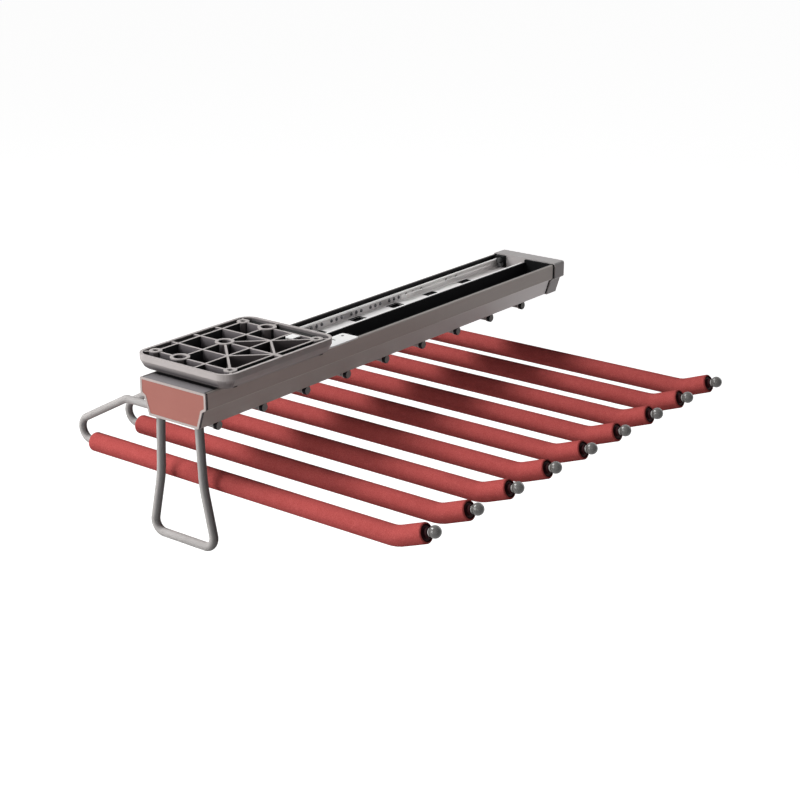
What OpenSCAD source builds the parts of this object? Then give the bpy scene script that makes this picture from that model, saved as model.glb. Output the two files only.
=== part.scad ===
// Pull-out trouser rack that screws to the underside of a wardrobe shelf.
// Millimetres. X runs along the arms to their open tips, Y to the back of the wardrobe, Z up.
// The origin is the centre of the four shelf screws, on the face that meets the shelf.
// Modules are drawn in channel coordinates, with Y zero at the first arm and Z zero under the
// channel, and rack_frame() moves them to the origin.

/* [Arms] */
// Number of trouser arms
arm_count = 9; // [3:1:12]
// Distance between neighbouring arms
arm_pitch = 50; // [40:1:60]
// Diameter of the bent steel rod
rod_d = 6; // [4:0.5:6.5]
// Reach of the closed bend, left of the channel's middle
bend_reach = 127.6; // [110:0.5:140]
// Reach of the tip balls, right of the channel's middle
tip_reach = 220.5; // [190:0.5:240]
// Reach of the cap on the rod's cut end, right of the channel's middle
stub_reach = 22.2; // [18:0.2:24]
// Height between the two legs of an arm, centre to centre
leg_drop = 43.95; // [36:0.05:60]
// Centreline radius of the closed bend
bend_r = 10; // [9:0.5:14]
// Centreline radius of the bend below the channel
shoulder_r = 9; // [7:0.5:12]
// Slope of the stretch between the two legs
fall_angle = 28.4; // [20:0.2:40]
// Slope of the raised tip
tip_angle = 20.3; // [10:0.1:30]
// Length of the raised tip, from its corner to the ball's centre
tip_rise = 34.3; // [31:0.1:40]
// Centreline radius of the raised tip's bend
tip_r = 30; // [20:1:45]

/* [Sleeves] */
// Outer diameter of the soft sleeve
sleeve_d = 14; // [10:0.5:18]
// Length of sleeve on the raised tip, from its corner
sleeve_rise = 25; // [20:0.5:26]
// Chamfer on the sleeve's ends
sleeve_chamfer = 1.6; // [0.5:0.1:2.5]
// Diameter of the ball on each tip
ball_d = 9.4; // [8:0.2:12]
// Outer diameter of the bush between sleeve and ball
bush_d = 11; // [9:0.5:12]
// Diameter of the bush's neck
bush_neck_d = 7.6; // [7.2:0.2:8]
// Thickness of the bush's flange
bush_flange = 1.4; // [1:0.1:2]

/* [Channel] */
// Overall width of the channel
channel_w = 66.6; // [62:0.2:76]
// Height of the channel
channel_h = 28.8; // [28:0.2:30]
// Sheet thickness of the channel
sheet = 1.5; // [1:0.1:2]
// How far each edge of the flat underside draws in from the channel's side
foot_inset = 8.2; // [6.4:0.1:9.2]
// How far the top of the tapered part draws in from the channel's side
shoulder_inset = 3.9; // [3.3:0.1:5.2]
// Height of the tapered part
shoulder_z = 13.7; // [12:0.1:14]
// Height at which the upright sides begin
side_z = 16.1; // [15:0.1:16.2]
// Width of the turned-in lips
lip_w = 2.8; // [2.4:0.2:5]
// Radius of the top edges
edge_r = 1.2; // [0.8:0.1:2]
// Length of channel in front of the first arm
front_over = 22.5; // [22:0.5:40]
// Length of channel behind the last arm
rear_over = 30.8; // [26:0.2:50]

/* [Caps] */
// Thickness of the front cap's face
face_t = 1.5; // [1.4:0.1:3]
// Thickness of the dark seal behind the front cap's face
seal_t = 1; // [0.8:0.1:2]
// Thickness of the dark seal before the rear cap
rear_seal_t = 2.6; // [2:0.1:3]
// Width of the front cap's rim round the panel
rim_w = 1.8; // [1.2:0.1:3]
// Depth of the panel in the face
panel_t = 1; // [0.7:0.1:1.2]
// Depth of the front cap's plug
plug_l = 15; // [13:0.5:17]
// Length of the rear cap
rear_cap_l = 16.6; // [12:0.2:24]
// Overhang of the rear cap beyond the channel's outline
rear_grow = 0.9; // [0.5:0.1:1.4]
// Bevel on the rear cap's back edge
rear_bevel = 1.6; // [1:0.1:2]

/* [Handle] */
// Diameter of the handle's rod
handle_d = 6.8; // [5:0.1:7]
// Distance of the handle's legs from the channel's sides, where they enter the cap
leg_inset = 13.7; // [13.5:0.1:16]
// How far the legs spread at their knees
knee_out = 2.2; // [1:0.1:4]
// Height of the knees below the channel
knee_drop = 47; // [40:1:58]
// How far the legs spread at their lower corners
grip_out = 12.9; // [9:0.1:18]
// Height of the grip below the channel
handle_drop = 95.5; // [80:0.5:120]
// Centreline radius of the grip's corners
grip_r = 9; // [7:0.5:14]

/* [Slide] */
// Distance from the channel's left side to the slide's middle
slide_inset = 20.633; // [20.3:0.001:21.3]
// Width of the outer rail
outer_w = 29; // [28.6:0.1:29.4]
// Height of the outer rail
outer_h = 8.8; // [8.6:0.1:9.2]
// Wall of both rails
rail_t = 1.5; // [1.3:0.1:1.5]
// Web thickness of both rails
web_t = 1.2; // [1:0.1:1.2]
// Height of the outer rail's underside in the channel
outer_z = 17.7; // [17.6:0.1:17.8]
// Width of the outer rail's curled edges
curl_w = 1.9; // [1.5:0.1:2]
// Diameter of the balls
slide_ball_d = 3.2; // [3:0.1:3.2]
// Running clearance round the balls
ball_gap = 0.15; // [0.1:0.05:0.2]
// Depth of the grooves that the balls run in
race_depth = 0.5; // [0.4:0.1:0.6]
// Thickness of the ball cage
cage_t = 0.8; // [0.6:0.1:1]
// Length of the inner rail
inner_l = 147; // [130:1:160]
// Length of the ball cage
cage_l = 286; // [270:1:290]
// Distance between the windows along the slide
window_pitch = 51.5; // [48:0.5:56]
// Length of one window
window_l = 15; // [12:0.5:18]
// Width of web beside each window
window_side = 4.7; // [4.6:0.1:6.5]
// Distance between balls in a group
ball_step = 6.6; // [5:0.1:8]

/* [Mounting plate] */
// Width of the plate
plate_w = 95; // [94:0.5:100]
// Length of the plate
plate_l = 125; // [121:0.5:132]
// Height of the plate
plate_h = 12.25; // [11:0.25:16]
// Corner radius of the plate
plate_r = 12; // [10:0.5:14]
// Height of the plate's upright rim
plate_band = 4.7; // [3:0.1:6]
// How far the plate draws in below the rim
plate_draw = 5.6; // [4:0.1:5.8]
// Share of the draw that the rounded bottom edge takes
plate_round = 0.48; // [0.4:0.02:0.6]
// Wall thickness of the plate
plate_wall = 2.4; // [2:0.1:2.6]
// Thickness of the plate's ribs
rib_t = 1.8; // [1.4:0.1:2.2]
// Thickness of the plate's floor
floor_t = 2; // [1.6:0.1:2.4]
// Distance of the shelf screws from the plate's long sides
hole_inset_x = 9.5; // [9.3:0.1:10]
// Distance of the shelf screws from the plate's ends
hole_inset_y = 14.5; // [13.5:0.5:15.5]
// Diameter of the holes for the shelf screws
hole_d = 4.5; // [4:0.1:5]
// Outer diameter of the corner bosses
boss_d = 10; // [9:0.2:10.6]
// Outer diameter of the ring bosses
ring_d = 15; // [14:0.2:16]
// Inner diameter of the ring bosses
ring_bore = 10; // [9.6:0.2:11]
// Thickness of the steel bracket
bracket_t = 1.2; // [1:0.1:1.5]
// Length of the bracket's tongue behind its wide part
tongue_l = 47; // [44:0.5:50]

/* [Hidden] */
$fn = 32;

// Overrun of cuts, and the clearances between pieces
over = 1;
run_gap = 0.4;
fit_gap = 0.2;
seat_gap = 0.1;

// Places along the channel
channel_y0 = -front_over;
channel_y1 = (arm_count - 1) * arm_pitch + rear_over;
face_y1 = channel_y0 - seal_t;
face_y0 = face_y1 - face_t;
plug_y1 = channel_y0 + plug_l;
cap_y0 = channel_y1 + rear_seal_t;
cap_y1 = cap_y0 + rear_cap_l;
slide_y0 = plug_y1 + fit_gap * 2;

// The mounting plate stands over the channel with the bracket between them
plate_z0 = channel_h + run_gap + bracket_t;
plate_top = plate_z0 + plate_h;
plate_inset = 5;
plate_y0 = channel_y0 + plate_inset;
plate_mid_y = plate_y0 + plate_l / 2;

module rack_frame() translate([0, -plate_mid_y, -plate_top]) children();

// Extrudes a section, drawn as X and Z, from one depth to another
module along_y(y0, y1) translate([0, y1, 0]) rotate([90, 0, 0]) linear_extrude(y1 - y0) children();

function unit(v) = v / norm(v);
function outward(a, b) = let (u = unit(b - a)) [u.y, -u.x];
// The closed outline pts moved outward by d, with its corners mitred
function grown(pts, d) = let (n = len(pts)) [for (i = [0:n - 1]) let (
    before = outward(pts[(i + n - 1) % n], pts[i]), after = outward(pts[i], pts[(i + 1) % n]))
    pts[i] + d * (before + after) / (1 + before * after)];
// Points of a round top corner, starting at angle a0
function corner(p, inward, r, a0) =
    [for (k = [0:4]) p + [inward * r, -r] + r * [cos(a0 + 22.5 * k), sin(a0 + 22.5 * k)]];

foot_x1 = channel_w / 2 - foot_inset;
half_outline = [[foot_x1, 0], [channel_w / 2 - shoulder_inset, shoulder_z], [channel_w / 2, side_z],
    [channel_w / 2, channel_h]];
sharp_outline = concat(half_outline, [for (i = [3:-1:0]) [-half_outline[i].x, half_outline[i].y]]);
// The channel's outline, grown by g, with round top edges, sharper where it is drawn in
function outline(g = 0) = let (b = grown(sharp_outline, g), r = g < 0 ? edge_r / 2 : edge_r + g)
    concat([b[0], b[1], b[2]], corner(b[3], -1, r, 0), corner(b[4], 1, r, 90), [b[5], b[6], b[7]]);

// A bent rod, from the origin along X. Each step is [straight length, bend radius, bend angle],
// and a positive angle turns towards Y. A bend is a hair thicker than its straights, which lap
// into it.
lap = 0.05;
swell_share = 0.01;
module bent_rod(steps, d, i = 0) {
    run = steps[i][0];
    r = steps[i][1];
    turn = steps[i][2];
    side = turn < 0 ? -1 : 1;
    back = i > 0 ? lap : 0;
    ahead = turn != 0 ? lap : 0;
    translate([-back, 0, 0]) rotate([0, 90, 0])
        cylinder(d = d, h = back + run + ahead);
    translate([run, side * r, 0]) {
        if (turn != 0) rotate([0, 0, turn < 0 ? 90 + turn : -90]) rotate_extrude(angle = abs(turn))
            translate([r, 0]) circle(d = d * (1 + swell_share));
        if (i < len(steps) - 1) rotate([0, 0, turn]) translate([0, -side * r, 0])
            bent_rod(steps, d, i + 1);
    }
}
// The steps of a rod through the points of a path, with a bend radius for each inner point
function turn_at(path, i) = let (u = path[i] - path[i - 1], v = path[i + 1] - path[i])
    atan2(u.x * v.y - u.y * v.x, u * v);
function setback(path, radii, i) =
    i == 0 || i == len(path) - 1 ? 0 : radii[i - 1] * tan(abs(turn_at(path, i)) / 2);
function steps_of(path, radii) = [for (i = [0:len(path) - 2]) let (last = i == len(path) - 2) [
    norm(path[i + 1] - path[i]) - setback(path, radii, i) - setback(path, radii, i + 1),
    last ? 0 : radii[i], last ? 0 : turn_at(path, i + 1)]];
// Turns a shape drawn on XY into the XZ plane at p, with its X axis along angle a
module upright(p, a) translate([p.x, 0, p.y]) rotate([90, 0, 0]) rotate([0, 0, a]) children();
// Turns a shape that stands on XY to stand at p of the XZ plane, facing along angle a
module aim(p, a) translate([p.x, 0, p.y]) rotate([0, 90 - a, 0]) children();

// The arm's path, from its cut end round the closed bend to the tip ball
bar_t = 1.5;
leg_z = -bar_t - seat_gap - rod_d / 2;
low_z = leg_z - leg_drop;
bend_x = -bend_reach + bend_r;
fall_dir = [-cos(fall_angle), -sin(fall_angle)];
fall_end = [bend_x - bend_r * sin(fall_angle), low_z + bend_r * (1 + cos(fall_angle))];
fall_top = fall_end - fall_dir * (leg_z - fall_end.y) / sin(fall_angle);
bend_corner = fall_end + fall_dir * bend_r * tan(90 - fall_angle / 2);
tip_dir = [cos(tip_angle), sin(tip_angle)];
tip_corner = [tip_reach - tip_rise * tip_dir.x, low_z];
ball_at = tip_corner + tip_rise * tip_dir;
cap_wall = 0.5;
cap_end = 1;
cap_l = 4;
arm_path = [[stub_reach - cap_end, leg_z], fall_top, bend_corner, tip_corner, ball_at];
sleeve_lead = 3;
sleeve_x0 = bend_x + sleeve_lead;
sleeve_end = tip_corner + tip_dir * sleeve_rise;
bush_l = tip_rise - sleeve_rise - ball_d / 2;

module each_arm() for (i = [0:arm_count - 1]) translate([0, i * arm_pitch, 0]) children();

module arm_rod(i) color("silver") rack_frame() translate([0, (i - 1) * arm_pitch, 0])
    upright(arm_path[0], 180) bent_rod(steps_of(arm_path, [shoulder_r, bend_r, tip_r]), rod_d);

// A cap covers the rod's cut end beside the channel's underside
module stub_caps() color([0.10, 0.10, 0.10]) rack_frame() each_arm() difference() {
    aim([stub_reach, leg_z], 180) chamfered_post(rod_d + 2 * seat_gap + 2 * cap_wall, cap_l, cap_wall);
    aim([stub_reach - cap_end + seat_gap, leg_z], 180) cylinder(d = rod_d + 2 * seat_gap, h = cap_l);
}

// The sleeve grips the rod, so only a thin gap is left between them
sleeve_bore = rod_d + 2 * seat_gap;
module chamfered_post(d, l, c)
    rotate_extrude() polygon([[0, 0], [d / 2 - c, 0], [d / 2, c], [d / 2, l], [0, l]]);
module chamfered_rod(d, l, c) rotate([0, 90, 0]) chamfered_post(d, l + lap, c);
module sleeve_form(d, c, more = 0) {
    bend_l = tip_r * tan(tip_angle / 2);
    flat_l = tip_corner.x - sleeve_x0 - bend_l + more;
    rise_l = sleeve_rise - bend_l + more;
    translate([-more, 0, 0]) chamfered_rod(d, flat_l, c);
    translate([flat_l - more, tip_r, 0]) {
        rotate([0, 0, -90]) rotate_extrude(angle = tip_angle) translate([tip_r, 0])
            circle(d = d * (1 + swell_share));
        rotate([0, 0, tip_angle]) translate([rise_l, -tip_r, 0]) mirror([1, 0, 0])
            chamfered_rod(d, rise_l, c);
    }
}
module arm_sleeve(i) color([0.69, 0.25, 0.26]) rack_frame() translate([0, (i - 1) * arm_pitch, 0])
    upright([sleeve_x0, low_z], 0) difference() {
        sleeve_form(sleeve_d, sleeve_chamfer);
        sleeve_form(sleeve_bore, lap, over);
    }

module tip_ball(i) color("gainsboro") rack_frame() translate([0, (i - 1) * arm_pitch, 0])
    difference() {
        translate([ball_at.x, 0, ball_at.y]) sphere(d = ball_d);
        aim(ball_at + tip_dir * seat_gap, tip_angle + 180)
            cylinder(d = rod_d + 2 * seat_gap, h = ball_d);
    }

// A flanged bush closes the sleeve's end and fills the neck up to the ball
module tip_bushes() color([0.22, 0.10, 0.11]) rack_frame() each_arm()
    difference() {
        aim(sleeve_end + tip_dir * seat_gap, tip_angle) {
            cylinder(d = bush_d, h = bush_flange);
            cylinder(d = bush_neck_d, h = bush_l);
        }
        aim(sleeve_end, tip_angle) cylinder(d = rod_d + 2 * seat_gap, h = bush_l + over);
        translate([ball_at.x, 0, ball_at.y]) sphere(d = ball_d + 2 * seat_gap);
    }

// The channel is open on top between its turned-in lips
module channel_section(grow = 0) difference() {
    polygon(outline(grow));
    polygon(grown(sharp_outline, -sheet));
    translate([-channel_w / 2 + lip_w, channel_h - sheet - over])
        square([channel_w - 2 * lip_w, sheet + over * 2 + max(grow, 0)]);
}
slide_x = slide_inset - channel_w / 2;
handle_gap = channel_w - 2 * leg_inset;
handle_inset = 4;
handle_y = channel_y0 + handle_inset;
rivet_d = 4;
rivet_hole_d = rivet_d + 2 * seat_gap;
bar_rivet_y = [for (i = [0:2:arm_count - 2]) (i + 0.5) * arm_pitch];
// Two notches in the floor's front edge let the handle's legs in together with the front cap
module channel_housing() color([0.44, 0.42, 0.41]) rack_frame() difference() {
    along_y(channel_y0, channel_y1) channel_section();
    for (side = [-1, 1]) translate([side * handle_gap / 2, handle_y, -over]) {
        cylinder(d = handle_d + 2 * fit_gap, h = sheet + 2 * over);
        translate([-handle_d / 2 - fit_gap, -handle_inset - over])
            cube([handle_d + 2 * fit_gap, handle_inset + over, sheet + 2 * over]);
    }
    for (y = bar_rivet_y) translate([slide_x, y, -over])
        cylinder(d = rivet_hole_d, h = sheet + 2 * over);
}

// The carrier is a box that holds the outer rail up in the channel's left half
carrier_t = 1.5;
carrier_z1 = outer_z - carrier_t;
wall_x = outer_w / 2 + fit_gap;
ledge_w = 5.3;
stub_h = 4.5;
foot_x = wall_x - ledge_w;
wall_z1 = outer_z + outer_h;
stub_z1 = outer_z + stub_h;
module carrier_section() translate([slide_x, 0]) {
    translate([-foot_x, sheet]) square([foot_x + wall_x + carrier_t, carrier_t]);
    translate([-wall_x - carrier_t, carrier_z1]) square([2 * wall_x + 2 * carrier_t, carrier_t]);
    translate([-foot_x, sheet]) square([carrier_t, outer_z - sheet]);
    translate([wall_x, sheet]) square([carrier_t, wall_z1 - sheet]);
    translate([-wall_x - carrier_t, carrier_z1]) square([carrier_t, stub_z1 - carrier_z1]);
}
carrier_y1 = channel_y1 - fit_gap;
stop_t = 5.4;
stop_w = 11.4;
stop_y0 = cap_y0 - stop_t;
stop_x0 = -channel_w / 2 + sheet + run_gap;
stop_x1 = stop_x0 + stop_w;
outer_y1 = stop_y0 - fit_gap;
// The webs of rail and cage have windows, up to a last stretch without
window_w = outer_w - 2 * window_side;
window_lead = 4.6;
window_free = 46;
window_first = slide_y0 + window_lead;
window_y = [for (y = [window_first:window_pitch:outer_y1 - window_free - window_l]) y];
carrier_rivet_y = [for (i = [0:2:len(window_y) - 2]) window_y[i] + (window_l + window_pitch) / 2];
module slide_carrier() color([0.10, 0.10, 0.11]) rack_frame() difference() {
    along_y(slide_y0, carrier_y1) carrier_section();
    for (y = bar_rivet_y) translate([slide_x, y, sheet - over])
        cylinder(d = rivet_hole_d, h = carrier_t + 2 * over);
    for (y = carrier_rivet_y) translate([slide_x, y, carrier_z1 - over])
        cylinder(d = rivet_hole_d, h = carrier_t + 2 * over);
    translate([stop_x0 - fit_gap, stop_y0 - fit_gap, outer_z])
        cube([stop_w + 2 * fit_gap, stop_t + over, stub_h + over]);
}

// The ball slide: balls run in grooves between the outer rail's sides and the inner rail's
curl_t = 1.2;
ball_x = outer_w / 2 - rail_t + race_depth - ball_gap - slide_ball_d / 2;
ball_z = outer_z + outer_h - curl_t - slide_ball_d / 2 - ball_gap - seat_gap;
race_d = slide_ball_d + 2 * ball_gap;
module races() for (side = [-1, 1]) translate([side * ball_x, ball_z]) circle(d = race_d);
module outer_section() translate([slide_x, 0]) difference() {
    translate([-outer_w / 2, outer_z]) square([outer_w, outer_h]);
    translate([-outer_w / 2 + rail_t, outer_z + web_t])
        square([outer_w - 2 * rail_t, outer_h - web_t - curl_t]);
    translate([-outer_w / 2 + curl_w, outer_z + web_t])
        square([outer_w - 2 * curl_w, outer_h]);
    races();
}
// Small holes in the rail's left side behind the cage, as shares of the rail's length
rail_hole_shares = [0.68, 0.702, 0.73, 0.815, 0.85];
rail_hole_d = 2.6;
sink_h = 0.9;
sink_d = rivet_d + 2.5 * sink_h;
module slide_outer_rail() color("lightgray") rack_frame() difference() {
    along_y(slide_y0, outer_y1) outer_section();
    for (y = window_y) translate([slide_x - window_w / 2, y, outer_z - over])
        cube([window_w, window_l, web_t + 2 * over]);
    for (s = rail_hole_shares)
        translate([slide_x - outer_w / 2 - over, slide_y0 + s * (outer_y1 - slide_y0), ball_z])
            rotate([0, 90, 0]) cylinder(d = rail_hole_d, h = rail_t + 2 * over);
    for (y = carrier_rivet_y) translate([slide_x, y, outer_z]) {
        translate([0, 0, -over]) cylinder(d = rivet_hole_d, h = web_t + 2 * over);
        translate([0, 0, web_t - sink_h]) cylinder(d1 = rivet_hole_d, d2 = sink_d, h = sink_h);
    }
}
head_d = 7;
head_t = 1.3;
module carrier_rivets() color("gray") rack_frame() for (y = carrier_rivet_y)
    translate([slide_x, y, 0]) {
        translate([0, 0, carrier_z1 - head_t]) cylinder(d = head_d, h = head_t);
        translate([0, 0, carrier_z1 - head_t])
            cylinder(d = rivet_d, h = outer_z + web_t - sink_h - carrier_z1 + head_t);
        translate([0, 0, outer_z + web_t - sink_h])
            cylinder(d1 = rivet_d, d2 = sink_d - 2 * seat_gap, h = sink_h);
    }

cage_z = outer_z + web_t + run_gap;
cage_y1 = slide_y0 + cage_l;
cage_rise = 0.9;
cage_top = ball_z + slide_ball_d / 2 + cage_rise;
group_lead = 6;
group_first = window_first + window_l / 2 + group_lead;
group_y = [for (y = [group_first:window_pitch / 2:cage_y1 - ball_step - slide_ball_d]) y];
low_hole_d = 1.8;
low_hole_z = cage_z + cage_t + low_hole_d / 2;
module cage_section() translate([slide_x, 0]) {
    translate([-ball_x - cage_t / 2, cage_z]) square([2 * ball_x + cage_t, cage_t]);
    for (side = [-1, 1]) translate([side * ball_x - cage_t / 2, cage_z])
        square([cage_t, cage_top - cage_z]);
}
module ball_cage() color("gainsboro") rack_frame() difference() {
    along_y(slide_y0, cage_y1) cage_section();
    for (y = window_y) if (y + window_l < cage_y1)
        translate([slide_x - window_w / 2, y, cage_z - over])
            cube([window_w, window_l, cage_t + 2 * over]);
    for (y = group_y) {
        for (k = [-1:1]) translate([slide_x - ball_x - cage_t, y + k * ball_step, ball_z])
            rotate([0, 90, 0]) cylinder(d = slide_ball_d + 2 * seat_gap, h = 2 * ball_x + 2 * cage_t);
        translate([slide_x - ball_x - cage_t, y, low_hole_z])
            rotate([0, 90, 0]) cylinder(d = low_hole_d, h = 2 * ball_x + 2 * cage_t);
    }
}
module cage_balls() color("dimgray") rack_frame() for (y = group_y, k = [-1:1], side = [-1, 1])
    translate([slide_x + side * ball_x, y + k * ball_step, ball_z]) sphere(d = slide_ball_d);

inner_half = ball_x - slide_ball_d / 2 - ball_gap + race_depth;
inner_lift = 0.6;
inner_z0 = cage_z + cage_t + inner_lift;
inner_z1 = channel_h + run_gap;
inner_y1 = slide_y0 + inner_l;
hole_dx = plate_w - 2 * hole_inset_x;
hole_dy = plate_l - 2 * hole_inset_y;
hole_y0 = plate_mid_y - hole_dy / 2;
boss_x = hole_dx / 2;
col_x = [for (k = [-3, -1, 1, 3]) k * hole_dx / 6];
row_y = [for (k = [0:4]) hole_y0 + k * hole_dy / 4];
rib_drop = 0.5;
plate_rivet_y = [for (k = [0:2]) hole_y0 + k * hole_dy / 2];
module slide_inner_rail() color("lightgray") rack_frame() difference() {
    along_y(slide_y0, inner_y1) translate([slide_x, 0]) difference() {
        translate([-inner_half, inner_z0]) square([2 * inner_half, inner_z1 - inner_z0]);
        translate([-inner_half + rail_t, inner_z0 - over])
            square([2 * (inner_half - rail_t), inner_z1 - inner_z0 - web_t + over]);
        races();
    }
    for (y = plate_rivet_y) translate([slide_x, y, inner_z1 - web_t - over])
        cylinder(d = rivet_hole_d, h = web_t + 2 * over);
}

// The bracket joins inner rail and plate, and its tongue holds the guide shoe
tongue_w = 16.8;
tongue_out = 2.5;
tongue_x1 = channel_w / 2 + tongue_out;
tongue_x0 = tongue_x1 - tongue_w;
bracket_in = 2.3;
bracket_x = channel_w / 2 - bracket_in;
bracket_lead = 3;
bracket_y0 = slide_y0 - bracket_lead;
bracket_r = 2;
bracket_y1 = hole_y0 + hole_dy + boss_d / 2 + bracket_r;
tongue_y1 = bracket_y1 + tongue_l;
lug_w = 3.6;
lug_t = 1;
lug_from_end = 19;
lug_in = 4.2;
lug_at = [tongue_x0 + lug_in, tongue_y1 - lug_from_end];
pin_d = 2.4;
pin_from_end = 6;
pin_at = [tongue_x0 + lug_in + lug_w / 6, tongue_y1 - pin_from_end];
module round_plate(p, q, r) {
    translate([p.x + r, p.y]) square([q.x - p.x - 2 * r, q.y - p.y]);
    translate([p.x, p.y + r]) square([q.x - p.x, q.y - p.y - 2 * r]);
    for (x = [p.x + r, q.x - r], y = [p.y + r, q.y - r]) translate([x, y]) circle(r = r);
}
hook_w = 8.2;
hook_slot = 0.6;
hook_at = [col_x[2] + rib_t, row_y[4] - rib_t / 2 - fit_gap - hook_w];
hook_z1 = plate_top - rib_drop;
// A tab is bent up through the plate's floor and folded over, level with the ribs
module slide_bracket() color("whitesmoke") rack_frame() {
    translate([0, 0, inner_z1]) linear_extrude(bracket_t) difference() {
        union() {
            round_plate([-bracket_x, bracket_y0], [bracket_x, bracket_y1], bracket_r);
            round_plate([tongue_x0, bracket_y1 - 4 * bracket_r], [bracket_x, tongue_y1], bracket_r);
            round_plate([tongue_x0, bracket_y1 - bracket_r / 2], [tongue_x1, tongue_y1], bracket_r);
        }
        for (y = plate_rivet_y) translate([slide_x, y]) circle(d = rivet_hole_d);
        translate(lug_at - [seat_gap, seat_gap]) square([lug_w + 2 * seat_gap, lug_t + 2 * seat_gap]);
        translate(pin_at) circle(d = pin_d + 2 * seat_gap);
    }
    translate([hook_at.x, hook_at.y, inner_z1]) cube([bracket_t, hook_w, hook_z1 - inner_z1]);
    translate([hook_at.x, hook_at.y, hook_z1 - bracket_t]) cube([hook_w, hook_w, bracket_t]);
}

// The shoe's foot runs under the channel's right lip and keeps the loaded channel level
shoe_inset = [1, 8, 3];
shoe_t = 3.3;
shoe_x0 = tongue_x0 + shoe_inset[0];
shoe_y0 = bracket_y1 + shoe_inset[1];
shoe_y1 = tongue_y1 - shoe_inset[2];
shoe_x1 = channel_w / 2 - lip_w - run_gap;
shoe_foot_x1 = channel_w / 2 - sheet - run_gap;
shoe_foot_z1 = channel_h - sheet - run_gap;
shoe_z0 = shoe_foot_z1 - shoe_t;
module guide_shoe() color([0.12, 0.12, 0.12]) rack_frame() {
    along_y(shoe_y0, shoe_y1) {
        translate([shoe_x0, shoe_z0]) square([shoe_x1 - shoe_x0, inner_z1 - shoe_z0]);
        translate([shoe_x0, shoe_z0]) square([shoe_foot_x1 - shoe_x0, shoe_foot_z1 - shoe_z0]);
    }
    translate([lug_at.x, lug_at.y, inner_z1 - lug_t]) cube([lug_w, lug_t, bracket_t + lug_t]);
    translate([pin_at.x, pin_at.y, inner_z1 - lug_t]) cylinder(d = pin_d, h = bracket_t + lug_t);
}

// The plate is a ribbed tray, open towards the shelf
draw_h = plate_h - plate_band;
draw_mid = 0.28 * draw_h;
draw_r = plate_r - plate_draw * (1 - plate_round);
module plate_form(grow, top) hull()
    for (x = [-1, 1], y = [-1, 1])
        translate([x * (plate_w / 2 - plate_r), plate_mid_y + y * (plate_l / 2 - plate_r), plate_z0]) {
            cylinder(r1 = plate_r - plate_draw + grow, r2 = draw_r + grow, h = draw_mid);
            translate([0, 0, draw_mid])
                cylinder(r1 = draw_r + grow, r2 = plate_r + grow, h = draw_h - draw_mid);
            translate([0, 0, draw_h]) cylinder(r = plate_r + grow, h = plate_band + top);
        }
module rib(p, q) translate(p) rotate([0, 0, atan2(q.y - p.y, q.x - p.x)])
    translate([0, -rib_t / 2]) square([norm(q - p), rib_t]);
module rib_plan() {
    rim_x = plate_w / 2 - plate_wall / 2;
    for (x = col_x) rib([x, row_y[0]], [x, row_y[4]]);
    for (k = [0:4]) rib([col_x[0], row_y[k]], [col_x[k % 2 == 0 ? 3 : 2], row_y[k]]);
    for (k = [1:3]) rib([-boss_x, row_y[k]], [-rim_x, row_y[k]]);
    for (side = [-1, 1]) rib([boss_x, row_y[2] + side * rib_t / 2], [rim_x, row_y[2] + side * rib_t / 2]);
    rib([col_x[2], plate_y0 + plate_wall / 2], [col_x[2], row_y[0]]);
    rib([col_x[1], row_y[4]], [col_x[1], plate_y0 + plate_l - plate_wall / 2]);
    for (d = [[1, 2, 2, 1], [2, 1, 3, 0], [2, 3, 3, 2], [1, 2, 2, 3], [2, 1, 3, 2], [2, 3, 3, 4]])
        rib([col_x[d[0]], row_y[d[1]]], [col_x[d[2]], row_y[d[3]]]);
    for (x = [-1, 1], y = [-1, 1]) let (corner_at = [x * boss_x, plate_mid_y + y * hole_dy / 2])
        rib(corner_at, corner_at + [x, y] * (boss_d / 2 + plate_wall / 2));
}
module mounting_plate() color([0.52, 0.51, 0.50]) rack_frame() difference() {
    union() {
        difference() {
            plate_form(0, 0);
            translate([0, 0, floor_t]) plate_form(-plate_wall, over);
        }
        intersection() {
            plate_form(0, 0);
            translate([0, 0, plate_z0]) linear_extrude(plate_h - rib_drop) rib_plan();
        }
        for (x = [-1, 1], y = [row_y[0], row_y[4]]) translate([x * boss_x, y, plate_z0])
            cylinder(d = boss_d, h = plate_h);
        for (y = plate_rivet_y) translate([slide_x, y, plate_z0]) cylinder(d = ring_d, h = plate_h);
    }
    for (x = [-1, 1], y = [row_y[0], row_y[4]]) translate([x * boss_x, y, plate_z0 - over])
        cylinder(d = hole_d, h = plate_h + 2 * over);
    for (y = plate_rivet_y) translate([slide_x, y, plate_z0]) {
        translate([0, 0, floor_t]) cylinder(d = ring_bore, h = plate_h);
        translate([0, 0, -over]) cylinder(d = rivet_hole_d, h = floor_t + 2 * over);
    }
    translate([hook_at.x - hook_slot, hook_at.y - hook_slot, plate_z0 - over])
        cube([bracket_t + 2 * hook_slot, hook_w + 2 * hook_slot, floor_t + 2 * over]);
}
plate_head_d = 8.6;
plate_head_t = 1.8;
module plate_rivets() color("gray") rack_frame() for (y = plate_rivet_y) translate([slide_x, y, 0]) {
    translate([0, 0, plate_z0 + floor_t]) cylinder(d = plate_head_d, h = plate_head_t);
    translate([0, 0, inner_z1 - web_t - head_t])
        cylinder(d = rivet_d, h = plate_z0 + floor_t - inner_z1 + web_t + head_t);
    translate([0, 0, inner_z1 - web_t - head_t]) cylinder(d = head_d, h = head_t);
}

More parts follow.
